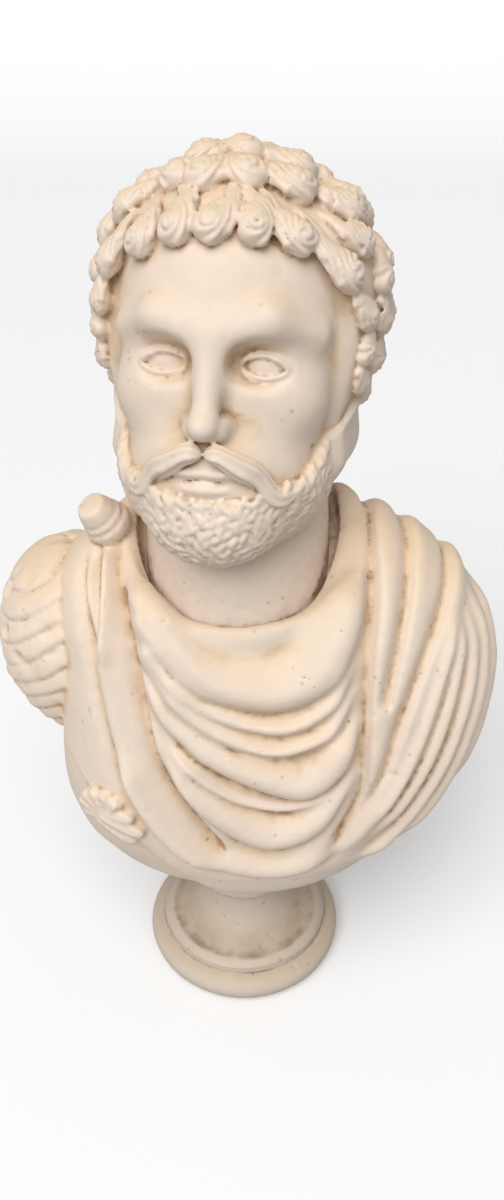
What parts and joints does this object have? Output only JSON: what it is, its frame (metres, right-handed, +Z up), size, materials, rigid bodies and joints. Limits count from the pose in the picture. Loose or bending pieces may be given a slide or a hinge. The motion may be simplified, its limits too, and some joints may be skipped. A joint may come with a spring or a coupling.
{
  "type": "marble portrait bust",
  "caption": "Life-size marble bust of a bearded, curly-haired man in a draped cloak with a shoulder clasp, standing on a round turned socle.",
  "frame": {"origin": "centre of the socle's flat round underside, on the surface it stands on", "axes": "+Z up through the socle's middle, -Y out of the chest, +X to the viewer's right"},
  "size_m": [0.4309, 0.2625, 0.7761],
  "materials": {
    "bust_marble": "satin",
    "socle_marble": "matte"
  },
  "bodies": {
    "root": {"bust": "bust_marble", "socle": "socle_marble"}
  },
  "joints": []
}
